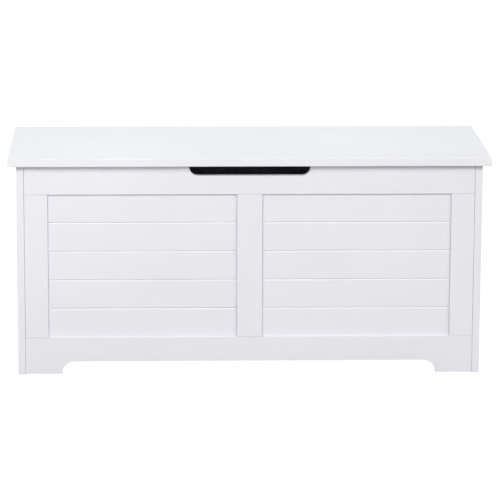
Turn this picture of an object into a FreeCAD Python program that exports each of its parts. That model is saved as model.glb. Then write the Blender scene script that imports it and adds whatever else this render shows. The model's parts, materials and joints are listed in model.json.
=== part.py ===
import FreeCAD, Part
import math
import os

# Toy chest with a hinged lid, for a child's room. Painted fibreboard panels, a framed
# front with two recessed plank panels, and two friction hinges behind the back panel.
# Millimetres. +X is the chest's right seen from the front, +Y its back, +Z up.
# The origin is on the floor, under the middle of the lid.

# Overall sizes, measured over the closed lid
overall_width = 1000.0
overall_depth = 400.0
overall_height = 460.0

# Lid
lid_thickness = 16.0
lid_edge_radius = 1.0
lid_side_overhang = 17.0
lid_front_overhang = 15.0
lid_back_overhang = 15.0

# Boards of the body
board = 15.0
edge_easing = 0.5
front_foot_lift = 1.5
floor_thickness = 12.0
floor_clearance = 0.5

# Front frame
top_rail_height = 59.0
bottom_rail_top = 79.0
outer_stile_width = 49.0
centre_stile_width = 53.0

# Recessed plank panels of the front
plank_count = 5
plank_thickness = 6.0
plank_recess = 5.0
plank_groove_width = 4.0
plank_groove_depth = 2.0
tongue_length = 7.0
tongue_end_clearance = 1.0
tongue_back_clearance = 0.2

# Finger opening in the top rail
handle_half_width = 125.5
handle_depth = 20.0
handle_corner_radius = 18.0

# Bracket feet: the arched openings along the floor
arch_top = 28.0
arch_corner_radius = 26.5
front_foot_width = 76.3
side_foot_width = 70.0

# Battens under the floor panel
batten = 18.0
batten_above_arch = 10.0

# Rubber bumpers that keep the lid off the side panels
bumper_radius = 5.0
bumper_height = 2.0
bumper_end_inset = 35.0

# Cam fittings and dowels that join the front and back to the side panels
cam_radius = 7.4
cam_depth = 12.0
cam_centre_inset = 34.0
cam_recess_length = 8.0
cam_recess_width = 1.4
cam_recess_depth = 2.0
bolt_thread_radius = 2.5
bolt_thread_length = 11.0
bolt_shank_radius = 3.0
bolt_neck_radius = 2.0
bolt_shank_length = 27.0
bolt_neck_length = 4.0
bolt_head_length = 5.0
bolt_clearance = 0.3
fitting_clearance = 0.1
cam_wall = 6.0
bottom_rail_cam_rise = 20.0
back_cam_top_inset = 53.0
back_cam_floor_rise = 42.0

panel_dowel_radius = 4.0
panel_dowel_in_side = 10.0
panel_dowel_in_board = 20.0
panel_dowel_rise = 20.0
panel_dowel_edge_inset = 9.5
frame_dowel_radius = 3.0
frame_dowel_half_length = 15.0
frame_dowel_spacing = 22.0
centre_dowel_spacing = 18.0
dowel_clearance = 0.05
dowel_end_clearance = 1.0

# Screws
screw_radius = 1.75
screw_head_radius = 3.5
screw_clearance = 0.05
screw_tip_length = 3.0
countersink_depth = 2.0
screw_recess_length = 3.6
screw_recess_width = 0.8
screw_recess_depth = 1.2
batten_screw_bite = 12.0
batten_screw_count = 4
batten_screw_end_inset = 48.0
side_batten_screw_inset = 62.0
floor_screw_bite = 7.0
hinge_screw_length = 12.0
hinge_screw_head_height = 2.0

# Friction hinges
hinge_inset = 163.0
hinge_length = 70.0
hinge_centre_knuckle = 40.0
hinge_knuckle_gap = 0.3
hinge_axis_offset = 6.0
hinge_knuckle_clearance = 0.4
hinge_knuckle_wall = 1.6
hinge_notch_clearance = 1.4
hinge_leaf_thickness = 1.5
hinge_leaf_reach = 45.0
hinge_leaf_corner_radius = 5.0
hinge_pin_radius = 2.5
hinge_pin_press_clearance = 0.03
hinge_pin_running_clearance = 0.05
hinge_pin_head_radius = 4.0
hinge_pin_head_length = 1.5
hinge_clip_seat_clearance = 0.05
hinge_clip_count = 6
hinge_clip_gap = 1.0
hinge_screw_spacing = 24.0
hinge_outer_screw_reach = 37.0
hinge_middle_screw_reach = 31.0

# Places worked out from the sizes above
body_side = overall_width / 2 - lid_side_overhang
side_inner = body_side - board
body_front = lid_front_overhang - overall_depth / 2
body_back = overall_depth / 2 - lid_back_overhang
frame_back = body_front + board
back_inner = body_back - board
lid_underside = overall_height - lid_thickness
body_top = lid_underside - bumper_height
top_rail_bottom = body_top - top_rail_height
stile_inner = side_inner - outer_stile_width
centre_stile_half = centre_stile_width / 2
handle_bottom = body_top - handle_depth
plank_front = body_front + plank_recess
plank_back = plank_front + plank_thickness
slot_back = plank_back + tongue_back_clearance
slot_depth = tongue_length + tongue_end_clearance
plank_pitch = (top_rail_bottom - bottom_rail_top) / plank_count
batten_bottom = arch_top + batten_above_arch
floor_bottom = batten_bottom + batten
floor_top = floor_bottom + floor_thickness
batten_middle = batten_bottom + batten / 2
frame_middle = body_front + board / 2
back_middle = body_back - board / 2
middle_y = (body_front + body_back) / 2
hinge_axis_y = body_back + hinge_axis_offset
hinge_axis_z = lid_underside - hinge_axis_offset
hinge_centre_x = body_side - hinge_inset
hinge_knuckle_radius = hinge_axis_offset - hinge_knuckle_clearance
hinge_notch_radius = hinge_knuckle_radius + hinge_notch_clearance
hinge_clip_seat_radius = hinge_knuckle_radius - hinge_knuckle_wall
hinge_clip_outer_radius = hinge_clip_seat_radius - hinge_clip_seat_clearance
batten_screw_length = batten + batten_screw_bite
floor_screw_length = batten + floor_screw_bite

X_AXIS = FreeCAD.Vector(1, 0, 0)
Y_AXIS = FreeCAD.Vector(0, 1, 0)
Z_AXIS = FreeCAD.Vector(0, 0, 1)
SIDES = {"left": -1, "right": 1}

nodes = {}


def block(x_range, y_range, z_range):
    """A box between two values on each axis, in either order."""
    low = FreeCAD.Vector(min(x_range), min(y_range), min(z_range))
    high = FreeCAD.Vector(max(x_range), max(y_range), max(z_range))
    size = high - low
    return Part.makeBox(size.x, size.y, size.z, low)


def rod(radius, length, base, direction):
    return Part.makeCylinder(radius, length, FreeCAD.Vector(*base), direction)


def joined(shapes):
    """One solid from shapes that overlap or share a face."""
    shapes = list(shapes)
    return shapes[0].fuse(shapes[1:]).removeSplitter()


def without(shape, tools):
    tools = list(tools)
    if not tools:
        return shape
    return shape.cut(tools).removeSplitter()


def group(solids):
    """Separate solids kept in one node."""
    return Part.makeCompound(list(solids))


def flat_edges(shape, axis, value):
    """The edges of a shape that lie wholly in the plane axis = value."""
    found = []
    for edge in shape.Edges:
        box = edge.BoundBox
        low = getattr(box, axis + "Min")
        high = getattr(box, axis + "Max")
        if abs(low - value) < 1e-4 and abs(high - value) < 1e-4:
            found.append(edge)
    return found


def eased(shape, radius, planes):
    """A shape with the edges in each of the given planes rounded over."""
    edges = []
    for axis, value in planes:
        for edge in flat_edges(shape, axis, value):
            if not any(edge.isSame(other) for other in edges):
                edges.append(edge)
    return shape.makeFillet(radius, edges)


def opening_face(half_width, edge_z, closed_z, radius):
    """Outline of an opening in the XZ plane, from past the board's edge to two rounded corners."""
    way = math.copysign(1.0, edge_z - closed_z)
    shoulder = closed_z + way * radius
    open_z = closed_z + way * (max(radius, abs(edge_z - closed_z)) + 1.0)
    bend = radius * math.sqrt(0.5)

    def at(x, z):
        return FreeCAD.Vector(x, 0, z)

    edges = []
    for side in (-1, 1):
        centre_x = side * (half_width - radius)
        corner = Part.Arc(
            at(side * half_width, shoulder),
            at(centre_x + side * bend, shoulder - way * bend),
            at(centre_x, closed_z),
        )
        edges.append(corner.toShape())
        edges.append(Part.makeLine(at(side * half_width, open_z), at(side * half_width, shoulder)))
    edges.append(Part.makeLine(at(radius - half_width, closed_z), at(half_width - radius, closed_z)))
    edges.append(Part.makeLine(at(-half_width, open_z), at(half_width, open_z)))
    wire = Part.Wire(Part.__sortEdges__(edges))
    return Part.Face(wire)


def opening_across(half_width, edge_z, closed_z, radius, y_range):
    """The opening cut through a board that faces the front."""
    face = opening_face(half_width, edge_z, closed_z, radius)
    face.translate(FreeCAD.Vector(0, min(y_range), 0))
    return face.extrude(FreeCAD.Vector(0, max(y_range) - min(y_range), 0))


def opening_through_side(half_width, edge_z, closed_z, radius, middle_y, x_range):
    """The opening cut through a board that faces the side."""
    face = opening_face(half_width, edge_z, closed_z, radius)
    face.rotate(FreeCAD.Vector(0, 0, 0), Z_AXIS, 90)
    face.translate(FreeCAD.Vector(min(x_range), middle_y, 0))
    return face.extrude(FreeCAD.Vector(max(x_range) - min(x_range), 0, 0))


# --- Fittings, and the holes that they need -------------------------------------------

def cam_heights(board_name):
    if board_name == "top":
        dowel_hole_top = top_rail_bottom + frame_dowel_half_length + dowel_end_clearance
        return [dowel_hole_top + cam_radius + cam_wall]
    if board_name == "bottom":
        return [front_foot_lift + bottom_rail_cam_rise]
    low = floor_top + back_cam_floor_rise
    high = body_top - back_cam_top_inset
    return [low, (low + high) / 2, high]


def dowel_heights(board_name):
    cams = cam_heights(board_name)
    if board_name == "top":
        return [body_top - panel_dowel_edge_inset]
    if board_name == "bottom":
        return [cams[0] + panel_dowel_rise]
    return [(cams[0] + cams[1]) / 2, (cams[1] + cams[2]) / 2]


BOARD_MIDDLE = {"top": frame_middle, "bottom": frame_middle, "back": back_middle}
CAM_FACE = {"top": (frame_back, -1), "bottom": (frame_back, -1), "back": (back_inner, 1)}


def cam(side, board_name, height, extra=0.0):
    """A round cam let into the inner face of a board. extra makes its hole."""
    face_y, into = CAM_FACE[board_name]
    centre = (side * (side_inner - cam_centre_inset), face_y, height)
    return rod(cam_radius + extra, cam_depth + extra, centre, Y_AXIS * into)


def cam_lock(side, board_name, height):
    face_y, into = CAM_FACE[board_name]
    centre_x = side * (side_inner - cam_centre_inset)
    recess_bottom = face_y + into * cam_recess_depth
    reach = cam_recess_length / 2
    thin = cam_recess_width / 2
    cross = [
        block((centre_x - reach, centre_x + reach), (face_y, recess_bottom), (height - thin, height + thin)),
        block((centre_x - thin, centre_x + thin), (face_y, recess_bottom), (height - reach, height + reach)),
    ]
    bore = cam_bolt_bore(side, board_name, height)
    return without(cam(side, board_name, height), cross + [bore])


def cam_bolt_bore(side, board_name, height):
    length = bolt_shank_length + bolt_neck_length + bolt_head_length + bolt_clearance
    start = (side * side_inner, BOARD_MIDDLE[board_name], height)
    return rod(bolt_shank_radius + bolt_clearance, length, start, X_AXIS * -side)


def cam_bolt_thread_hole(side, board_name, height):
    radius = bolt_thread_radius + fitting_clearance
    length = bolt_thread_length + bolt_clearance
    start = (side * side_inner, BOARD_MIDDLE[board_name], height)
    return rod(radius, length, start, X_AXIS * side)


def cam_bolt(side, board_name, height):
    """Threaded end in the side panel, shank, neck, and the head that the cam draws in."""
    middle = BOARD_MIDDLE[board_name]
    face = side * side_inner
    neck_start = face - side * bolt_shank_length
    head_start = neck_start - side * bolt_neck_length
    inward = X_AXIS * -side
    return joined([
        rod(bolt_thread_radius, bolt_thread_length, (face, middle, height), X_AXIS * side),
        rod(bolt_shank_radius, bolt_shank_length, (face, middle, height), inward),
        rod(bolt_neck_radius, bolt_neck_length, (neck_start, middle, height), inward),
        rod(bolt_shank_radius, bolt_head_length, (head_start, middle, height), inward),
    ])


def panel_dowel(side, board_name, height, radial=0.0, end=0.0):
    start_x = side * (side_inner - panel_dowel_in_board - end)
    length = panel_dowel_in_board + panel_dowel_in_side + 2 * end
    start = (start_x, BOARD_MIDDLE[board_name], height)
    return rod(panel_dowel_radius + radial, length, start, X_AXIS * side)


def frame_dowel_places():
    """The x and z of each dowel between a stile and a rail."""
    outer_middle = (stile_inner + slot_depth + side_inner) / 2
    places = []
    for seam in (bottom_rail_top, top_rail_bottom):
        for half in (-0.5, 0.5):
            places.append((half * centre_dowel_spacing, seam))
            for side in SIDES.values():
                places.append((side * outer_middle + half * frame_dowel_spacing, seam))
    return places


def frame_dowel(x, seam, radial=0.0, end=0.0):
    half = frame_dowel_half_length + end
    return rod(frame_dowel_radius + radial, 2 * half, (x, frame_middle, seam - half), Z_AXIS)


def frame_dowel_holes():
    return [frame_dowel(x, seam, dowel_clearance, dowel_end_clearance) for x, seam in frame_dowel_places()]


def end_fitting_holes(side, board_name):
    """Everything bored into the end of a front rail or of the back panel."""
    holes = []
    for height in cam_heights(board_name):
        holes.append(cam(side, board_name, height, fitting_clearance))
        holes.append(cam_bolt_bore(side, board_name, height))
    for height in dowel_heights(board_name):
        holes.append(panel_dowel(side, board_name, height, dowel_clearance, dowel_end_clearance))
    return holes


def side_fitting_holes(side):
    """Everything bored into the inner face of a side panel for the boards that meet it."""
    holes = []
    for board_name in BOARD_MIDDLE:
        for height in cam_heights(board_name):
            holes.append(cam_bolt_thread_hole(side, board_name, height))
        for height in dowel_heights(board_name):
            holes.append(panel_dowel(side, board_name, height, dowel_clearance, dowel_end_clearance))
    return holes


def with_cross_recess(screw, head, direction):
    """A screw with two crossed slots in its head, for a screwdriver."""
    slots = []
    for along in (X_AXIS, Y_AXIS, Z_AXIS):
        if abs(along.dot(direction)) < 0.5:
            across = along.cross(direction)
            corner = along * screw_recess_length / 2 + across * screw_recess_width / 2
            start = head - corner
            end = head + corner + direction * screw_recess_depth
            slots.append(block((start.x, end.x), (start.y, end.y), (start.z, end.z)))
    return without(screw, slots)


def countersunk_screw(head, direction, length, extra=0.0):
    """A wood screw with its head flush at the point head. extra makes its hole."""
    base = FreeCAD.Vector(*head)
    cone = Part.makeCone(screw_head_radius + extra, screw_radius + extra, countersink_depth, base, direction)
    shank_length = length - countersink_depth - screw_tip_length
    shank_base = base + direction * countersink_depth
    shank = Part.makeCylinder(screw_radius + extra, shank_length, shank_base, direction)
    tip_base = shank_base + direction * shank_length
    tip = Part.makeCone(screw_radius + extra, screw_clearance + extra, screw_tip_length, tip_base, direction)
    screw = joined([cone, shank, tip])
    return screw if extra else with_cross_recess(screw, base, direction)


batten_screw_reach = side_inner - batten_screw_end_inset
batten_screw_pitch = 2 * batten_screw_reach / (batten_screw_count - 1)
side_batten_screw_y = (back_inner - frame_back) / 2 - batten - side_batten_screw_inset


def batten_screws(extra=0.0):
    """Screws through the battens into the front, the back and the sides."""
    screws = []
    for count in range(batten_screw_count):
        x = count * batten_screw_pitch - batten_screw_reach
        front_head = (x, frame_back + batten, batten_middle)
        back_head = (x, back_inner - batten, batten_middle)
        screws.append(countersunk_screw(front_head, -Y_AXIS, batten_screw_length, extra))
        screws.append(countersunk_screw(back_head, Y_AXIS, batten_screw_length, extra))
    for side in SIDES.values():
        for end in (-1, 1):
            head = (side * (side_inner - batten), middle_y + end * side_batten_screw_y, batten_middle)
            screws.append(countersunk_screw(head, X_AXIS * side, batten_screw_length, extra))
    return screws


def floor_screws(extra=0.0):
    """Screws up through the battens and the brace into the floor panel."""
    places = []
    for count in range(batten_screw_count - 1):
        x = (count + 0.5) * batten_screw_pitch - batten_screw_reach
        places.append((x, frame_back + batten / 2))
        places.append((x, back_inner - batten / 2))
    for side in SIDES.values():
        places.append((side * (side_inner - batten / 2), middle_y))
        places.append((0.0, middle_y + side * side_batten_screw_y))
    return [countersunk_screw((x, y, batten_bottom), Z_AXIS, floor_screw_length, extra) for x, y in places]


# --- Hinges ----------------------------------------------------------------------------

def knuckle(centre_x, start, end, radius):
    return rod(radius, end - start, (centre_x + start, hinge_axis_y, hinge_axis_z), X_AXIS)


knuckle_edge = hinge_centre_knuckle / 2
hinge_half = hinge_length / 2
half_gap = hinge_knuckle_gap / 2


def hinge_screw_places(centre_x):
    """The x of each screw and its reach from the hinge axis."""
    return [
        (centre_x - hinge_screw_spacing, hinge_outer_screw_reach),
        (centre_x, hinge_middle_screw_reach),
        (centre_x + hinge_screw_spacing, hinge_outer_screw_reach),
    ]


def pan_screw(seat, direction, extra=0.0):
    """A pan-head screw whose head sits on the point seat. extra makes its hole."""
    base = FreeCAD.Vector(*seat)
    shank_length = hinge_screw_length - screw_tip_length
    shank = Part.makeCylinder(screw_radius + extra, shank_length, base, direction)
    tip_base = base + direction * shank_length
    tip = Part.makeCone(screw_radius + extra, screw_clearance + extra, screw_tip_length, tip_base, direction)
    head_base = base - direction * hinge_screw_head_height
    head = Part.makeCylinder(screw_head_radius, hinge_screw_head_height, head_base, direction)
    head = head.makeFillet(hinge_screw_head_height / 2, flat_end_edges(head, head_base, direction))
    screw = joined([head, shank, tip])
    return screw if extra else with_cross_recess(screw, head_base, direction)


def flat_end_edges(shape, point, direction):
    """The round edges of a shape in the plane through point, square to direction."""
    found = []
    for edge in shape.Edges:
        offset = (edge.BoundBox.Center - point).dot(direction)
        if edge.Closed and abs(offset) < 1e-4:
            found.append(edge)
    return found


def body_hinge_screws(centre_x, extra=0.0):
    seat_y = body_back + hinge_leaf_thickness
    seats = [(x, seat_y, hinge_axis_z - reach) for x, reach in hinge_screw_places(centre_x)]
    return [pan_screw(seat, -Y_AXIS, extra) for seat in seats]


def lid_hinge_screws(centre_x, extra=0.0):
    seat_z = lid_underside - hinge_leaf_thickness
    seats = [(x, hinge_axis_y - reach, seat_z) for x, reach in hinge_screw_places(centre_x)]
    return [pan_screw(seat, Z_AXIS, extra) for seat in seats]


def screw_holes_in_leaf(places, direction):
    """Plain round holes for the screws through a leaf."""
    radius = screw_radius + fitting_clearance
    return [rod(radius, 2 * hinge_leaf_thickness, place, direction) for place in places]


def rounded_leaf(plate, axis, free_end):
    """A leaf with the two corners at its free end rounded."""
    corners = [edge for edge in flat_edges(plate, axis, free_end) if edge.BoundBox.XLength < 1e-4]
    return plate.makeFillet(hinge_leaf_corner_radius, corners)


def body_leaf(centre_x):
    """The leaf on the back panel, with the two outer knuckles."""
    x_range = (centre_x - hinge_half, centre_x + hinge_half)
    y_range = (body_back, body_back + hinge_leaf_thickness)
    free_end = hinge_axis_z - hinge_leaf_reach
    plate = rounded_leaf(block(x_range, y_range, (free_end, hinge_axis_z)), "Z", free_end)
    notch = block(
        (centre_x - knuckle_edge - half_gap, centre_x + knuckle_edge + half_gap),
        y_range,
        (hinge_axis_z - hinge_notch_radius, hinge_axis_z),
    )
    before = body_back - hinge_leaf_thickness / 2
    seats = [(x, before, hinge_axis_z - reach) for x, reach in hinge_screw_places(centre_x)]
    knuckles = [
        knuckle(centre_x, -hinge_half, -knuckle_edge - half_gap, hinge_knuckle_radius),
        knuckle(centre_x, knuckle_edge + half_gap, hinge_half, hinge_knuckle_radius),
    ]
    bore = knuckle(centre_x, -hinge_half, hinge_half, hinge_pin_radius + hinge_pin_press_clearance)
    leaf = joined([plate.cut(notch)] + knuckles)
    return without(leaf, [bore] + screw_holes_in_leaf(seats, Y_AXIS))


def lid_leaf(centre_x):
    """The leaf under the lid, with the long centre knuckle round the friction clips."""
    x_range = (centre_x - hinge_half, centre_x + hinge_half)
    z_range = (lid_underside - hinge_leaf_thickness, lid_underside)
    free_end = hinge_axis_y - hinge_leaf_reach
    plate = rounded_leaf(block(x_range, (free_end, hinge_axis_y), z_range), "Y", free_end)
    notches = []
    for side in SIDES.values():
        notch_x = (centre_x + side * (knuckle_edge - half_gap), centre_x + side * hinge_half)
        notches.append(block(notch_x, (hinge_axis_y - hinge_notch_radius, hinge_axis_y), z_range))
    below = z_range[0] - hinge_leaf_thickness / 2
    seats = [(x, hinge_axis_y - reach, below) for x, reach in hinge_screw_places(centre_x)]
    barrel = knuckle(centre_x, half_gap - knuckle_edge, knuckle_edge - half_gap, hinge_knuckle_radius)
    bore = knuckle(centre_x, -knuckle_edge, knuckle_edge, hinge_clip_seat_radius)
    leaf = joined([without(plate, notches), barrel])
    return without(leaf, [bore] + screw_holes_in_leaf(seats, Z_AXIS))


def hinge_pin(centre_x):
    head_reach = hinge_half + hinge_pin_head_length
    return joined([
        knuckle(centre_x, -hinge_half, hinge_half, hinge_pin_radius),
        knuckle(centre_x, -head_reach, -hinge_half, hinge_pin_head_radius),
        knuckle(centre_x, hinge_half, head_reach, hinge_pin_head_radius),
    ])


def friction_clips(centre_x):
    """Spring rings that grip the pin inside the centre knuckle."""
    pitch = (hinge_centre_knuckle - hinge_knuckle_gap) / hinge_clip_count
    clips = []
    for count in range(hinge_clip_count):
        start = half_gap - knuckle_edge + count * pitch + hinge_clip_gap / 2
        end = start + pitch - hinge_clip_gap
        ring = knuckle(centre_x, start, end, hinge_clip_outer_radius)
        bore = knuckle(centre_x, start, end, hinge_pin_radius + hinge_pin_running_clearance)
        clips.append(ring.cut(bore))
    return clips


# --- Lid ---------------------------------------------------------------------------------

def lid_panel():
    half_width = overall_width / 2
    half_depth = overall_depth / 2
    panel = block((-half_width, half_width), (-half_depth, half_depth), (lid_underside, overall_height))
    panel = panel.makeFillet(lid_edge_radius, panel.Edges)
    holes = []
    for side in SIDES.values():
        holes += lid_hinge_screws(side * hinge_centre_x, screw_clearance)
    return without(panel, holes)


nodes["lid_panel"] = lid_panel()


# --- Side panels and their bumpers --------------------------------------------------------

screw_holes_in_boards = group(batten_screws(screw_clearance))
floor_screw_holes = group(floor_screws(screw_clearance))


def side_panel(side):
    x_range = (side * side_inner, side * body_side)
    panel = block(x_range, (body_front, body_back), (0, body_top))
    half_width = (body_back - body_front) / 2 - side_foot_width
    arch = opening_through_side(half_width, 0.0, arch_top, arch_corner_radius, middle_y, x_range)
    panel = eased(panel.cut(arch), edge_easing, [("X", side * body_side), ("Y", body_front)])
    return without(panel, side_fitting_holes(side) + [screw_holes_in_boards])


def lid_bumpers():
    bumpers = []
    for side in SIDES.values():
        for y in (body_front + bumper_end_inset, body_back - bumper_end_inset):
            base = (side * (side_inner + body_side) / 2, y, body_top)
            bumpers.append(rod(bumper_radius, bumper_height, base, Z_AXIS))
    return group(bumpers)


for side_name, side in SIDES.items():
    nodes["side_panel_" + side_name] = side_panel(side)
nodes["lid_bumpers"] = lid_bumpers()


# --- Front frame ---------------------------------------------------------------------------

def panel_slots(x_extra, z_extra):
    """The slots that hold the two plank panels, reaching into the stiles and the rails."""
    slots = []
    for side in SIDES.values():
        x_range = (side * (centre_stile_half - x_extra), side * (stile_inner + x_extra))
        z_range = (bottom_rail_top - z_extra, top_rail_bottom + z_extra)
        slots.append(block(x_range, (plank_front, slot_back), z_range))
    return slots


def rail_holes(board_name):
    holes = panel_slots(slot_depth, slot_depth) + frame_dowel_holes()
    for side in SIDES.values():
        holes += end_fitting_holes(side, board_name)
    return holes


def front_top_rail():
    rail = block((-side_inner, side_inner), (body_front, frame_back), (top_rail_bottom, body_top))
    handle = opening_across(
        handle_half_width, body_top, handle_bottom, handle_corner_radius, (body_front, frame_back)
    )
    rail = eased(rail.cut(handle), edge_easing, [("Y", body_front), ("Y", frame_back)])
    return without(rail, rail_holes("top"))


def front_bottom_rail():
    rail = block((-side_inner, side_inner), (body_front, frame_back), (front_foot_lift, bottom_rail_top))
    arch = opening_across(
        side_inner - front_foot_width, front_foot_lift, arch_top, arch_corner_radius, (body_front, frame_back)
    )
    rail = eased(rail.cut(arch), edge_easing, [("Y", body_front)])
    return without(rail, rail_holes("bottom") + [screw_holes_in_boards])


def front_stile(x_range):
    stile = block(x_range, (body_front, frame_back), (bottom_rail_top, top_rail_bottom))
    stile = eased(stile, edge_easing, [("Y", body_front)])
    return without(stile, panel_slots(slot_depth, 0.0) + frame_dowel_holes())


def plank_panel(side):
    """A panel with V grooves that divide its face into planks."""
    x_range = (side * (centre_stile_half - tongue_length), side * (stile_inner + tongue_length))
    z_range = (bottom_rail_top - tongue_length, top_rail_bottom + tongue_length)
    panel = block(x_range, (plank_front, plank_back), z_range)
    start_x = min(x_range)
    length = FreeCAD.Vector(max(x_range) - start_x, 0, 0)
    grooves = []
    for count in range(1, plank_count):
        z = bottom_rail_top + count * plank_pitch
        corners = [
            FreeCAD.Vector(start_x, plank_front, z - plank_groove_width / 2),
            FreeCAD.Vector(start_x, plank_front + plank_groove_depth, z),
            FreeCAD.Vector(start_x, plank_front, z + plank_groove_width / 2),
        ]
        outline = Part.makePolygon(corners + corners[:1])
        grooves.append(Part.Face(outline).extrude(length))
    return without(panel, grooves)


nodes["front_top_rail"] = front_top_rail()
nodes["front_bottom_rail"] = front_bottom_rail()
nodes["front_centre_stile"] = front_stile((-centre_stile_half, centre_stile_half))
for side_name, side in SIDES.items():
    nodes["front_stile_" + side_name] = front_stile((side * stile_inner, side * side_inner))
    nodes["front_plank_panel_" + side_name] = plank_panel(side)


# --- Back and floor -------------------------------------------------------------------------

def back_panel():
    panel = block((-side_inner, side_inner), (back_inner, body_back), (arch_top, body_top))
    panel = eased(panel, edge_easing, [("Y", body_back)])
    holes = [screw_holes_in_boards]
    for side in SIDES.values():
        holes += end_fitting_holes(side, "back")
        holes += body_hinge_screws(side * hinge_centre_x, screw_clearance)
    return without(panel, holes)


def floor_panel():
    x = side_inner - floor_clearance
    y_range = (frame_back + floor_clearance, back_inner - floor_clearance)
    panel = block((-x, x), y_range, (floor_bottom, floor_top))
    return without(panel, [floor_screw_holes])


def batten_piece(x_range, y_range):
    piece = block(x_range, y_range, (batten_bottom, floor_bottom))
    return without(piece, [screw_holes_in_boards, floor_screw_holes])


nodes["back_panel"] = back_panel()
nodes["floor_panel"] = floor_panel()
batten_front_y = frame_back + batten
batten_back_y = back_inner - batten
nodes["batten_front"] = batten_piece((-side_inner, side_inner), (frame_back, batten_front_y))
nodes["batten_back"] = batten_piece((-side_inner, side_inner), (batten_back_y, back_inner))
for side_name, side in SIDES.items():
    batten_x = (side * (side_inner - batten), side * side_inner)
    nodes["batten_" + side_name] = batten_piece(batten_x, (batten_front_y, batten_back_y))
nodes["floor_brace"] = batten_piece((-batten / 2, batten / 2), (batten_front_y, batten_back_y))
nodes["batten_screws"] = group(batten_screws())
nodes["floor_screws"] = group(floor_screws())


# --- Cams, bolts and dowels -----------------------------------------------------------------

cams = []
bolts = []
panel_dowels = []
for side in SIDES.values():
    for board_name in BOARD_MIDDLE:
        for height in cam_heights(board_name):
            cams.append(cam_lock(side, board_name, height))
            bolts.append(cam_bolt(side, board_name, height))
        for height in dowel_heights(board_name):
            panel_dowels.append(panel_dowel(side, board_name, height))
nodes["cam_locks"] = group(cams)
nodes["cam_bolts"] = group(bolts)
nodes["panel_dowels"] = group(panel_dowels)
nodes["frame_dowels"] = group(frame_dowel(x, seam) for x, seam in frame_dowel_places())


# --- Hinges on the chest ----------------------------------------------------------------------

clips = []
body_screws = []
lid_screws = []
for side_name, side in SIDES.items():
    centre_x = side * hinge_centre_x
    nodes["hinge_" + side_name + "_body_leaf"] = body_leaf(centre_x)
    nodes["hinge_" + side_name + "_lid_leaf"] = lid_leaf(centre_x)
    nodes["hinge_" + side_name + "_pin"] = hinge_pin(centre_x)
    clips += friction_clips(centre_x)
    body_screws += body_hinge_screws(centre_x)
    lid_screws += lid_hinge_screws(centre_x)
nodes["hinge_friction_clips"] = group(clips)
nodes["hinge_body_screws"] = group(body_screws)
nodes["hinge_lid_screws"] = group(lid_screws)


os.makedirs("parts", exist_ok=True)
for name, shape in nodes.items():
    shape.exportStep("parts/" + name + ".step")
    print(name, "solids", len(shape.Solids), "valid", shape.isValid(), "volume", round(shape.Volume, 1))
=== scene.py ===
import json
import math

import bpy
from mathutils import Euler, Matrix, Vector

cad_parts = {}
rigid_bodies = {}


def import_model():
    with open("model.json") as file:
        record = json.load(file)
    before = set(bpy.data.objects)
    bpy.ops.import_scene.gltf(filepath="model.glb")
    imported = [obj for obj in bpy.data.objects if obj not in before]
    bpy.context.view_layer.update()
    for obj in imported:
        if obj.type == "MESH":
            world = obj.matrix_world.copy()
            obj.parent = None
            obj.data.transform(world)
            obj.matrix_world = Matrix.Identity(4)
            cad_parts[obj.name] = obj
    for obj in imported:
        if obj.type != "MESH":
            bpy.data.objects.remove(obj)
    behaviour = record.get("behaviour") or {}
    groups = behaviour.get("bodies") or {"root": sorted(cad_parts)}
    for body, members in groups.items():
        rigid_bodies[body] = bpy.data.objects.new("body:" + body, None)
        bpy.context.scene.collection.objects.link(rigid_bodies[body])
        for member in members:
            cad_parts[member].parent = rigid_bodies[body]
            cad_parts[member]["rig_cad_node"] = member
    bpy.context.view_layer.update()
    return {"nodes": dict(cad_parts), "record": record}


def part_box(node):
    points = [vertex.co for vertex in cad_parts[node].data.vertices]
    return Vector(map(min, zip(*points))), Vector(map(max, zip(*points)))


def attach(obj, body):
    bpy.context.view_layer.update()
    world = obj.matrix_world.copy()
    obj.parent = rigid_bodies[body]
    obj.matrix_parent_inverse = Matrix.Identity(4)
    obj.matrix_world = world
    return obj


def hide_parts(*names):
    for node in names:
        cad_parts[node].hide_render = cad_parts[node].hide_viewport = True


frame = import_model()

# %% [markdown]
# # A white toy chest with a hinged lid
# The chest is painted fibreboard: a lid, two side panels, a back, and a front built as a
# frame of rails and stiles around two recessed panels. The frame that was just loaded
# holds its pieces at their real places, in metres. This lesson remodels the boards that
# are seen, so that their edges catch the light as painted edges do, and gives every
# piece its finish. First come the imports and the frame's own outer box, which the
# finished model has to stay inside.

# %% [markdown]
# ## Working habits
# An operator acts on whatever is selected, so each piece starts from a clean selection.
# Every board starts as a cube, resized to its real size, with its place then moved into
# its mesh. That keeps all objects at the origin, and a pattern on object coordinates
# then has the same scale on every board.

# %% Starting a board
def clear_selection():
    bpy.ops.object.select_all(action="DESELECT")


def take_up(piece):
    """Makes a piece the only one that operators act on."""
    clear_selection()
    piece.select_set(True)
    bpy.context.view_layer.objects.active = piece


def settle(name):
    """Moves the active object's place and size into its mesh, and names it."""
    bpy.ops.object.transform_apply(location=True, rotation=True, scale=True)
    piece = bpy.context.active_object
    piece.name = name
    piece.data.name = name
    return piece


def rough_board(name, low, high):
    """A cube resized to lie between two corners."""
    clear_selection()
    low, high = Vector(low), Vector(high)
    bpy.ops.mesh.primitive_cube_add(size=1.0, location=(low + high) / 2)
    bpy.ops.transform.resize(value=high - low)
    return settle(name)


print("a board starts from a cube of 1 m")

# %% [markdown]
# ## Cutting, easing and shading
# The shaped openings could be drawn point by point, but a carpenter cuts them out with a
# router. Here a cutter with two rounded corners does the same through a Boolean. The
# edges are then eased with a bevel that only touches sharp corners. Weighted normals
# keep the large faces flat and let only the eased edges turn, which is how a sprayed
# board looks.

# %% Modifiers that finish a board
EASING_SEGMENTS = 3
SHARP_ANGLE = math.radians(30)
FACE_WEIGHT = 80


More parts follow.
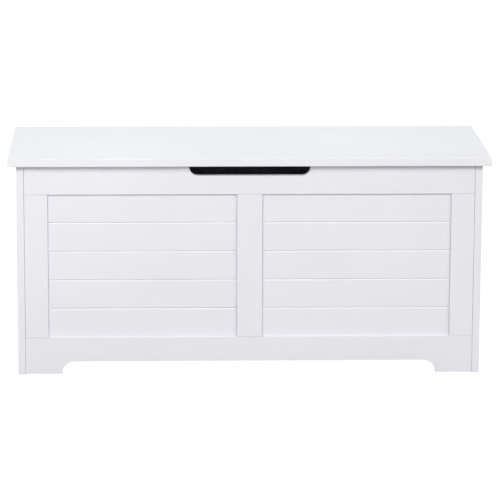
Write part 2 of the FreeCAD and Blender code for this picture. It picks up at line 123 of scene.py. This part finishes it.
def apply_modifier(piece, kind, **settings):
    """Adds a modifier with these settings and applies it at once."""
    take_up(piece)
    modifier = piece.modifiers.new(kind.title(), kind)
    for key, value in settings.items():
        setattr(modifier, key, value)
    bpy.ops.object.modifier_apply(modifier=modifier.name)


def ease_edges(piece, width, segments=EASING_SEGMENTS):
    """Rounds every sharp edge a little, and keeps the large faces flat in the light."""
    apply_modifier(
        piece, "BEVEL", width=width, segments=segments, limit_method="ANGLE",
        angle_limit=SHARP_ANGLE, miter_outer="MITER_ARC",
    )
    bpy.ops.object.shade_smooth_by_angle(angle=SHARP_ANGLE)
    apply_modifier(
        piece, "WEIGHTED_NORMAL", mode="FACE_AREA", weight=FACE_WEIGHT, keep_sharp=True,
    )
    print(piece.name, "has", len(piece.data.polygons), "faces")


# %% A cutter with two rounded corners
CORNER_SEGMENTS = 14
STRAIGHT_SHARE = 0.99
LEVEL_TOLERANCE = 1e-6


def corner_edges(piece, along, level, side):
    """Selects the edges that run along one axis at the closed end of a cutter."""
    bpy.ops.object.mode_set(mode="EDIT")
    bpy.ops.mesh.select_mode(type="EDGE")
    bpy.ops.mesh.select_all(action="DESELECT")
    bpy.ops.object.mode_set(mode="OBJECT")
    count = 0
    for edge in piece.data.edges:
        start, end = (piece.data.vertices[v].co for v in edge.vertices)
        run = end - start
        runs_along = abs(run[along]) > run.length * STRAIGHT_SHARE
        if runs_along and side * (start.z - level) >= -LEVEL_TOLERANCE:
            edge.select = True
            count += 1
    return count


def rout_out(piece, low, high, radius, along, closed_up):
    """Cuts an opening with two rounded corners at its closed end, through a board."""
    cutter = rough_board("cutter", low, high)
    side = 1 if closed_up else -1
    level = high[2] if closed_up else low[2]
    found = corner_edges(cutter, along, level, side)
    bpy.ops.object.mode_set(mode="EDIT")
    bpy.ops.mesh.bevel(offset=radius, segments=CORNER_SEGMENTS, affect="EDGES")
    bpy.ops.object.mode_set(mode="OBJECT")
    apply_modifier(piece, "BOOLEAN", operation="DIFFERENCE", object=cutter, solver="EXACT")
    bpy.data.objects.remove(cutter)
    print(piece.name, "routed with", found, "rounded corners")


# %% [markdown]
# ## Sizes taken from the frame
# Each board that is remodelled takes its place from the node that it stands for, so it
# follows the design. Only what a box can't say, such as the radius of an opening's
# corners, is written here.

# %% Sizes
MM = 0.001
LID_EDGE = 1.0 * MM
JOINT_GAP = 0.5 * MM
EDGE_EASING = 0.5 * MM
HANDLE_HALF_WIDTH = 125.5 * MM
HANDLE_DEPTH = 20.0 * MM
HANDLE_CORNER = 18.0 * MM
ARCH_TOP = 28.0 * MM
ARCH_CORNER = 26.4 * MM
FRONT_FOOT_WIDTH = 76.3 * MM
SIDE_FOOT_WIDTH = 70.0 * MM
PAST = 5.0 * MM


def board_from(node, name, shy=(0, 0, 0)):
    """A rough board with the same box as a node, a little short of it along some axes."""
    low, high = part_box(node)
    return rough_board(name, low + Vector(shy), high - Vector(shy))


def twin_of(piece, node, twin_node, name):
    """A copy with its own mesh, moved from one node's place to another's."""
    take_up(piece)
    bpy.ops.object.duplicate(linked=False)
    bpy.ops.transform.translate(value=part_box(twin_node)[0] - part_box(node)[0])
    return settle(name)


def stand_for(piece, node, body):
    """Shows a finished piece in place of a node, and lets a body carry it."""
    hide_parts(node)
    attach(piece, body)
    print(piece.name, "stands for", node)


rail_low, rail_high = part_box("front_top_rail")
print("the front's top rail is", round(rail_high.x - rail_low.x, 3), "m wide")

# %% [markdown]
# ## The lid
# The lid is one flat board that overhangs the front and both sides. A plain block would
# do for its outline, but its edges would catch no light. So the block is eased like a
# sanded board, with a 1 mm round on all its edges.

# %% Lid
lid = board_from("lid_panel", "lid_board")
ease_edges(lid, LID_EDGE)
stand_for(lid, "lid_panel", "lid")

# %% [markdown]
# ## Side panels
# Each side panel is a board with an arch at the floor, which leaves two bracket feet.
# The outline could be drawn and given a thickness, but routing it keeps the board's own
# size from the frame. The cutter starts below the floor, so the board is open there. The
# two panels are alike, so one is made and the other is its copy.

# %% Side panels
side_left = board_from("side_panel_left", "side_board_left")
low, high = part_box("side_panel_left")
cutter_low = (low.x - PAST, low.y + SIDE_FOOT_WIDTH, -PAST)
cutter_high = (high.x + PAST, high.y - SIDE_FOOT_WIDTH, ARCH_TOP)
rout_out(side_left, cutter_low, cutter_high, ARCH_CORNER, along=0, closed_up=True)
ease_edges(side_left, EDGE_EASING)
side_right = twin_of(side_left, "side_panel_left", "side_panel_right", "side_board_right")
stand_for(side_left, "side_panel_left", "chest")
stand_for(side_right, "side_panel_right", "chest")

# %% [markdown]
# ## The front's rails and stiles
# The top rail has the finger opening, cut down from its top edge. The bottom rail has
# the long arch. The stiles are plain lengths of board that stand between the rails,
# and their eased ends leave fine V lines at the joints. Real boards never meet quite
# closed, so rails and stiles also stay a hair short at both ends, which puts a dark
# line at the bottom of each V.

# %% Rails
top_rail = board_from("front_top_rail", "top_rail", (JOINT_GAP, 0, 0))
low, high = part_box("front_top_rail")
rout_out(
    top_rail,
    (-HANDLE_HALF_WIDTH, low.y - PAST, high.z - HANDLE_DEPTH),
    (HANDLE_HALF_WIDTH, high.y + PAST, high.z + PAST),
    HANDLE_CORNER, along=1, closed_up=False,
)
ease_edges(top_rail, EDGE_EASING)
stand_for(top_rail, "front_top_rail", "chest")

bottom_rail = board_from("front_bottom_rail", "bottom_rail", (JOINT_GAP, 0, 0))
low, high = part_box("front_bottom_rail")
rout_out(
    bottom_rail,
    (low.x + FRONT_FOOT_WIDTH, low.y - PAST, -PAST),
    (high.x - FRONT_FOOT_WIDTH, high.y + PAST, ARCH_TOP),
    ARCH_CORNER, along=1, closed_up=True,
)
ease_edges(bottom_rail, EDGE_EASING)
stand_for(bottom_rail, "front_bottom_rail", "chest")

# %% Stiles
STILE_SHY = (JOINT_GAP, 0, JOINT_GAP / 2)
stile_left = board_from("front_stile_left", "stile_left", STILE_SHY)
centre_stile = board_from("front_centre_stile", "centre_stile", STILE_SHY)
ease_edges(stile_left, EDGE_EASING)
ease_edges(centre_stile, EDGE_EASING)
stile_right = twin_of(stile_left, "front_stile_left", "front_stile_right", "stile_right")
stand_for(stile_left, "front_stile_left", "chest")
stand_for(centre_stile, "front_centre_stile", "chest")
stand_for(stile_right, "front_stile_right", "chest")

# %% [markdown]
# ## Plank panels
# Each panel is one thin board whose face is grooved, so that it reads as five planks. A
# loop cut needs a window, so the face is bisected three times at each groove instead:
# once at each lip and once along the bottom. The bottom line is then pushed into the
# board. The same step makes a fine groove where the panel goes in behind each stile,
# which draws the shadow line of that joint. The lips are eased a little, because paint
# never leaves a knife edge. The right panel is a copy of the left one.

# %% Grooving a face
PLANK_GROOVE_WIDTH = 4.0 * MM
PLANK_GROOVE_DEPTH = 2.0 * MM
JOINT_GROOVE_WIDTH = 1.2 * MM
JOINT_GROOVE_DEPTH = 1.2 * MM
LINE_TOLERANCE = 0.01 * MM
DEPTH_TOLERANCE = 0.1 * MM


def bisect_at(piece, axis, place):
    """A line of edges all round a piece, square to one axis."""
    normal = Vector((0, 0, 0))
    normal[axis] = 1
    bpy.ops.object.mode_set(mode="EDIT")
    bpy.ops.mesh.select_all(action="SELECT")
    bpy.ops.mesh.bisect(plane_co=normal * place, plane_no=normal)
    bpy.ops.object.mode_set(mode="OBJECT")


def groove(piece, axis, place, width, depth, front_y):
    """A V groove in the front face, square to one axis. It may cross plank grooves."""
    deepest = front_y + PLANK_GROOVE_DEPTH + DEPTH_TOLERANCE
    for shift in (-0.5, 0.0, 0.5):
        bisect_at(piece, axis, place + shift * width)
    bpy.ops.object.mode_set(mode="EDIT")
    bpy.ops.mesh.select_mode(type="VERT")
    bpy.ops.mesh.select_all(action="DESELECT")
    bpy.ops.object.mode_set(mode="OBJECT")
    for vertex in piece.data.vertices:
        on_line = abs(vertex.co[axis] - place) < LINE_TOLERANCE
        vertex.select = on_line and vertex.co.y < deepest
    bpy.ops.object.mode_set(mode="EDIT")
    bpy.ops.transform.translate(value=(0, depth, 0))
    bpy.ops.object.mode_set(mode="OBJECT")


# %% Plank panels
PLANK_COUNT = 5
LIP_EASING = 0.3 * MM
LIP_SEGMENTS = 2
opening_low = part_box("front_bottom_rail")[1].z
opening_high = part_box("front_top_rail")[0].z
plank_pitch = (opening_high - opening_low) / PLANK_COUNT
groove_heights = [opening_low + count * plank_pitch for count in range(1, PLANK_COUNT)]
panel_left = board_from("front_plank_panel_left", "plank_panel_left")
panel_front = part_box("front_plank_panel_left")[0].y
for z in groove_heights:
    groove(panel_left, 2, z, PLANK_GROOVE_WIDTH, PLANK_GROOVE_DEPTH, panel_front)
for x in (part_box("front_stile_left")[1].x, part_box("front_centre_stile")[0].x):
    groove(panel_left, 0, x, JOINT_GROOVE_WIDTH, JOINT_GROOVE_DEPTH, panel_front)
ease_edges(panel_left, LIP_EASING, segments=LIP_SEGMENTS)
panel_right = twin_of(
    panel_left, "front_plank_panel_left", "front_plank_panel_right", "plank_panel_right",
)
stand_for(panel_left, "front_plank_panel_left", "chest")
stand_for(panel_right, "front_plank_panel_right", "chest")
print("planks are", round(plank_pitch / MM, 1), "mm high")

# %% [markdown]
# ## Back panel
# The back is a plain board between the side panels, so an eased block gives its outline.
# The cams in its inner face, and in the rails, are pieces of their own. No housings are
# cut for them here, so the board's face also closes the cross in each cam.

# %% Back panel
back = board_from("back_panel", "back_board")
ease_edges(back, EDGE_EASING)
stand_for(back, "back_panel", "chest")

# %% [markdown]
# ## Finishes
# A finish is built from nodes on object coordinates, which run in metres here, so a
# noise of scale 400 has features of about 2.5 mm. White paint isn't one flat colour: a
# sprayed board varies a little in tone from place to place, and its surface has the
# fine waviness called orange peel. Both are kept very weak.

# %% Building materials from nodes
def node_material(name):
    """A new material, with its nodes and links."""
    material = bpy.data.materials.new(name)
    material.use_nodes = True
    return material, material.node_tree.nodes, material.node_tree.links


def object_noise(nodes, links, scale, detail, stretch=(1.0, 1.0, 1.0)):
    """A noise on object coordinates, stretched along the axes."""
    coordinates = nodes.new("ShaderNodeTexCoord")
    mapping = nodes.new("ShaderNodeMapping")
    mapping.inputs["Scale"].default_value = stretch
    noise = nodes.new("ShaderNodeTexNoise")
    noise.inputs["Scale"].default_value = scale
    noise.inputs["Detail"].default_value = detail
    links.new(coordinates.outputs["Object"], mapping.inputs["Vector"])
    links.new(mapping.outputs["Vector"], noise.inputs["Vector"])
    return noise


def two_tone(nodes, links, noise, dark, light, low=0.35, high=0.65):
    """A colour ramp between two tones, driven by a noise."""
    ramp = nodes.new("ShaderNodeValToRGB")
    ramp.color_ramp.elements[0].position = low
    ramp.color_ramp.elements[0].color = (*dark, 1)
    ramp.color_ramp.elements[1].position = high
    ramp.color_ramp.elements[1].color = (*light, 1)
    links.new(noise.outputs["Fac"], ramp.inputs["Fac"])
    return ramp


def add_bump(nodes, links, noise, strength, distance):
    """Fine relief that follows a noise."""
    bump = nodes.new("ShaderNodeBump")
    bump.inputs["Strength"].default_value = strength
    bump.inputs["Distance"].default_value = distance
    links.new(noise.outputs["Fac"], bump.inputs["Height"])
    links.new(bump.outputs["Normal"], nodes["Principled BSDF"].inputs["Normal"])


def vary_roughness(nodes, links, noise, low, high):
    """A gloss that changes a little from place to place."""
    span = nodes.new("ShaderNodeMapRange")
    span.inputs["To Min"].default_value = low
    span.inputs["To Max"].default_value = high
    links.new(noise.outputs["Fac"], span.inputs["Value"])
    links.new(span.outputs["Result"], nodes["Principled BSDF"].inputs["Roughness"])


# %% White paint
def white_paint(name, dark, light, rough_low, rough_high):
    """Sprayed satin paint on fibreboard."""
    material, nodes, links = node_material(name)
    tone = object_noise(nodes, links, scale=3.0, detail=4.0)
    ramp = two_tone(nodes, links, tone, dark, light)
    links.new(ramp.outputs["Color"], nodes["Principled BSDF"].inputs["Base Color"])
    peel = object_noise(nodes, links, scale=420.0, detail=2.0)
    add_bump(nodes, links, peel, strength=0.10, distance=0.00012)
    vary_roughness(nodes, links, tone, rough_low, rough_high)
    return material


body_paint = white_paint(
    "body_paint", (0.832, 0.822, 0.858), (0.857, 0.847, 0.883), 0.42, 0.52,
)
lid_paint = white_paint(
    "lid_paint", (0.845, 0.849, 0.872), (0.865, 0.869, 0.892), 0.38, 0.48,
)
print("paints:", body_paint.name, lid_paint.name)

# %% [markdown]
# Pine and beech are the same recipe at two scales: a noise stretched along the grain
# makes the growth lines, and a weak bump follows them.

# %% Bare wood
GRAIN_STRETCH = 0.06


def bare_wood(name, dark, light, grain_axis, scale):
    """Unpainted wood with its grain along one axis."""
    material, nodes, links = node_material(name)
    stretch = [1.0, 1.0, 1.0]
    stretch[grain_axis] = GRAIN_STRETCH
    grain = object_noise(nodes, links, scale, detail=6.0, stretch=stretch)
    ramp = two_tone(nodes, links, grain, dark, light, low=0.3, high=0.7)
    links.new(ramp.outputs["Color"], nodes["Principled BSDF"].inputs["Base Color"])
    add_bump(nodes, links, grain, strength=0.25, distance=0.0003)
    vary_roughness(nodes, links, grain, 0.55, 0.75)
    return material


PINE_DARK = (0.50, 0.33, 0.17)
PINE_LIGHT = (0.72, 0.53, 0.32)
pine_across = bare_wood("pine_across", PINE_DARK, PINE_LIGHT, grain_axis=0, scale=120.0)
pine_along = bare_wood("pine_along", PINE_DARK, PINE_LIGHT, grain_axis=1, scale=120.0)
beech = bare_wood(
    "beech", (0.45, 0.28, 0.16), (0.62, 0.42, 0.26), grain_axis=0, scale=300.0,
)
print("woods:", pine_across.name, pine_along.name, beech.name)

# %% [markdown]
# The hardware is metal with a fine brushed or cast surface, and the bumpers are clear
# rubber, which is nearly white on a white board.

# %% Metal and rubber
EVEN = (1, 1, 1)
BRUSHED_ALONG_X = (0.05, 1, 1)


def worked_metal(name, colour, dark_colour, rough_low, rough_high, scale, stretch):
    """Brushed or cast metal."""
    material, nodes, links = node_material(name)
    nodes["Principled BSDF"].inputs["Metallic"].default_value = 1.0
    marks = object_noise(nodes, links, scale, detail=3.0, stretch=stretch)
    ramp = two_tone(nodes, links, marks, dark_colour, colour)
    links.new(ramp.outputs["Color"], nodes["Principled BSDF"].inputs["Base Color"])
    vary_roughness(nodes, links, marks, rough_low, rough_high)
    add_bump(nodes, links, marks, strength=0.08, distance=0.0001)
    return material


hinge_metal = worked_metal(
    "hinge_nickel", (0.74, 0.73, 0.71), (0.62, 0.61, 0.59), 0.24, 0.36, 900.0, BRUSHED_ALONG_X,
)
clip_metal = worked_metal(
    "clip_steel", (0.42, 0.42, 0.44), (0.30, 0.30, 0.32), 0.30, 0.45, 700.0, EVEN,
)
screw_metal = worked_metal(
    "screw_zinc", (0.70, 0.69, 0.66), (0.56, 0.55, 0.52), 0.28, 0.42, 800.0, EVEN,
)
cam_metal = worked_metal(
    "cam_zinc", (0.55, 0.56, 0.58), (0.42, 0.43, 0.45), 0.40, 0.58, 500.0, EVEN,
)


def clear_rubber(name):
    """Hazy clear rubber, seen against white."""
    material, nodes, links = node_material(name)
    haze = object_noise(nodes, links, scale=250.0, detail=2.0)
    ramp = two_tone(nodes, links, haze, (0.70, 0.71, 0.71), (0.80, 0.81, 0.80))
    links.new(ramp.outputs["Color"], nodes["Principled BSDF"].inputs["Base Color"])
    vary_roughness(nodes, links, haze, 0.30, 0.45)
    return material


bumper_rubber = clear_rubber("bumper_rubber")

# %% Painting the pieces
FINISH_OF_SLOT = {
    "painted_board": body_paint,
    "painted_lid": lid_paint,
    "pine_batten": pine_across,
    "beech_dowel": beech,
    "hinge_steel": hinge_metal,
    "spring_steel": clip_metal,
    "plated_screw": screw_metal,
    "zinc_fitting": cam_metal,
    "bumper_rubber": bumper_rubber,
}


def paint(piece, material):
    """One finish all over a piece."""
    piece.data.materials.clear()
    piece.data.materials.append(material)


for subpart in frame["record"]["subparts"]:
    paint(frame["nodes"][subpart["node"]], FINISH_OF_SLOT[subpart["material_slot"]])
for node in ("batten_left", "batten_right", "floor_brace"):
    paint(frame["nodes"][node], pine_along)
for piece in bpy.data.objects:
    if piece.type == "MESH" and "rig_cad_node" not in piece:
        is_lid = piece.name == "lid_board"
        paint(piece, lid_paint if is_lid else body_paint)
print(len(bpy.data.materials), "materials")

# %% [markdown]
# ## Studio
# The chest stands on a plain pale floor in two layers. The lower one is mid grey and
# throws a little light back up at the chest. It would look grey, and a glowing floor
# would light the chest from below, so a thin bright veil lies on it: the camera sees the
# veil, and the light doesn't, because it is left out of the bounced and shadow rays. A
# little of the grey shows through where the chest shades it. A drum of the same veil
# stands round the floor for low views, where the camera looks over the floor's far edge.

# %% Floor and veil
FLOOR_SIZE = 60.0
VEIL_LIFT = 0.0002
VEIL_COVER = 0.94
VEIL_GLOW = 1.08
DRUM_RADIUS = FLOOR_SIZE / 2.1
DRUM_HEIGHT = FLOOR_SIZE / 2
UNSEEN_BY = ("visible_diffuse", "visible_glossy", "visible_transmission", "visible_shadow")


def studio_plane(name, height):
    """A floor-sized sheet that belongs to the studio and not to the chest."""
    clear_selection()
    bpy.ops.mesh.primitive_plane_add(size=FLOOR_SIZE, location=(0, 0, height))
    plane = settle(name)
    return plane


floor = studio_plane("studio_floor", 0.0)
floor_paint, nodes, links = node_material("studio_grey")
nodes["Principled BSDF"].inputs["Roughness"].default_value = 0.9
mottle = object_noise(nodes, links, scale=0.8, detail=2.0)
ramp = two_tone(nodes, links, mottle, (0.44, 0.44, 0.44), (0.46, 0.46, 0.46))
links.new(ramp.outputs["Color"], nodes["Principled BSDF"].inputs["Base Color"])
paint(floor, floor_paint)

veil = studio_plane("studio_veil", VEIL_LIFT)
veil_glow, nodes, links = node_material("studio_glow")
glow = nodes.new("ShaderNodeEmission")
glow.inputs["Strength"].default_value = VEIL_GLOW
clear = nodes.new("ShaderNodeBsdfTransparent")
blend = nodes.new("ShaderNodeMixShader")
blend.inputs["Fac"].default_value = VEIL_COVER
links.new(clear.outputs["BSDF"], blend.inputs[1])
links.new(glow.outputs["Emission"], blend.inputs[2])
links.new(blend.outputs["Shader"], nodes["Material Output"].inputs["Surface"])
paint(veil, veil_glow)
clear_selection()
bpy.ops.mesh.primitive_cylinder_add(
    radius=DRUM_RADIUS, depth=DRUM_HEIGHT, end_fill_type="NOTHING",
)
drum = settle("studio_drum")
paint(drum, veil_glow)
for screen in (veil, drum):
    for ray in UNSEEN_BY:
        setattr(screen, ray, False)
print("floor and veil:", FLOOR_SIZE, "m square")

# %% [markdown]
# ## Lights
# A large softbox in front and to the right is the main light. Two smaller ones fill the
# front from both sides, one from above lights the lid, and two behind keep the back and
# the sides from going flat. A single lamp would be simpler, but would leave hard shadows
# under the lid.

# %% Lights
CHEST_MIDDLE = (0, 0, 0.3)
LID_MIDDLE = (0, 0, 0.45)
AMBIENT_COLOUR = (0.96, 0.97, 1.0, 1)
AMBIENT_STRENGTH = 0.40


def soft_light(name, place, aim, size, watts):
    """A square area light that faces a point."""
    clear_selection()
    bpy.ops.object.light_add(type="AREA", location=place)
    light = bpy.context.active_object
    light.name = name
    light.data.size = size
    light.data.energy = watts
    facing = Vector(aim) - Vector(place)
    light.rotation_euler = facing.to_track_quat("-Z", "Y").to_euler()
    return light


soft_light("key_softbox", (3.0, -6.8, 5.2), CHEST_MIDDLE, 4.0, 195.0)
# From behind, the lid would mirror this one as a white glare, so it isn't reflected.
near_left = soft_light("near_left_softbox", (-1.5, -2.4, 1.9), CHEST_MIDDLE, 1.4, 40.0)
near_left.visible_glossy = False
soft_light("side_softbox", (3.6, -3.0, 2.2), CHEST_MIDDLE, 0.8, 38.0)
soft_light("lid_light", (0, 1.2, 2.3), LID_MIDDLE, 1.6, 16.5)
soft_light("rim_left_softbox", (-3.6, 2.6, 1.8), CHEST_MIDDLE, 2.0, 50.0)
soft_light("rim_right_softbox", (3.6, 2.6, 1.8), CHEST_MIDDLE, 2.0, 50.0)
world = bpy.data.worlds.new("studio_world")
bpy.context.scene.world = world
world.use_nodes = True
ambient = world.node_tree.nodes["Background"]
ambient.inputs["Color"].default_value = AMBIENT_COLOUR
ambient.inputs["Strength"].default_value = AMBIENT_STRENGTH
bpy.context.scene.view_settings.view_transform = "Standard"
print(len(bpy.data.lights), "softboxes")

# %% [markdown]
# ## Camera
# The view is a long lens from 6.3 m away and 1.56 m up, a little left of the middle,
# looking down at about 12 degrees. Such a distant camera keeps the chest's edges nearly
# parallel.

# %% Camera
CAMERA_PLACE = (-0.2150, -6.2542, 1.5612)
CAMERA_LENS = 214.94
SENSOR_WIDTH = 36.0
FAR_CLIP = 200.0
LOOK_RIGHT = math.radians(2.034)
LOOK_DOWN = math.radians(12.049)
ROLL = math.radians(0.219)
clear_selection()
bpy.ops.object.camera_add(location=CAMERA_PLACE)
camera = bpy.context.active_object
camera.name = "product_camera"
camera.data.lens = CAMERA_LENS
camera.data.sensor_width = SENSOR_WIDTH
camera.data.clip_end = FAR_CLIP
aim = Euler((math.pi / 2 - LOOK_DOWN, 0, -LOOK_RIGHT)).to_matrix()
aim = aim @ Matrix.Rotation(ROLL, 3, "Z")
camera.rotation_euler = aim.to_euler()
bpy.context.scene.camera = camera
print("camera at", CAMERA_PLACE)
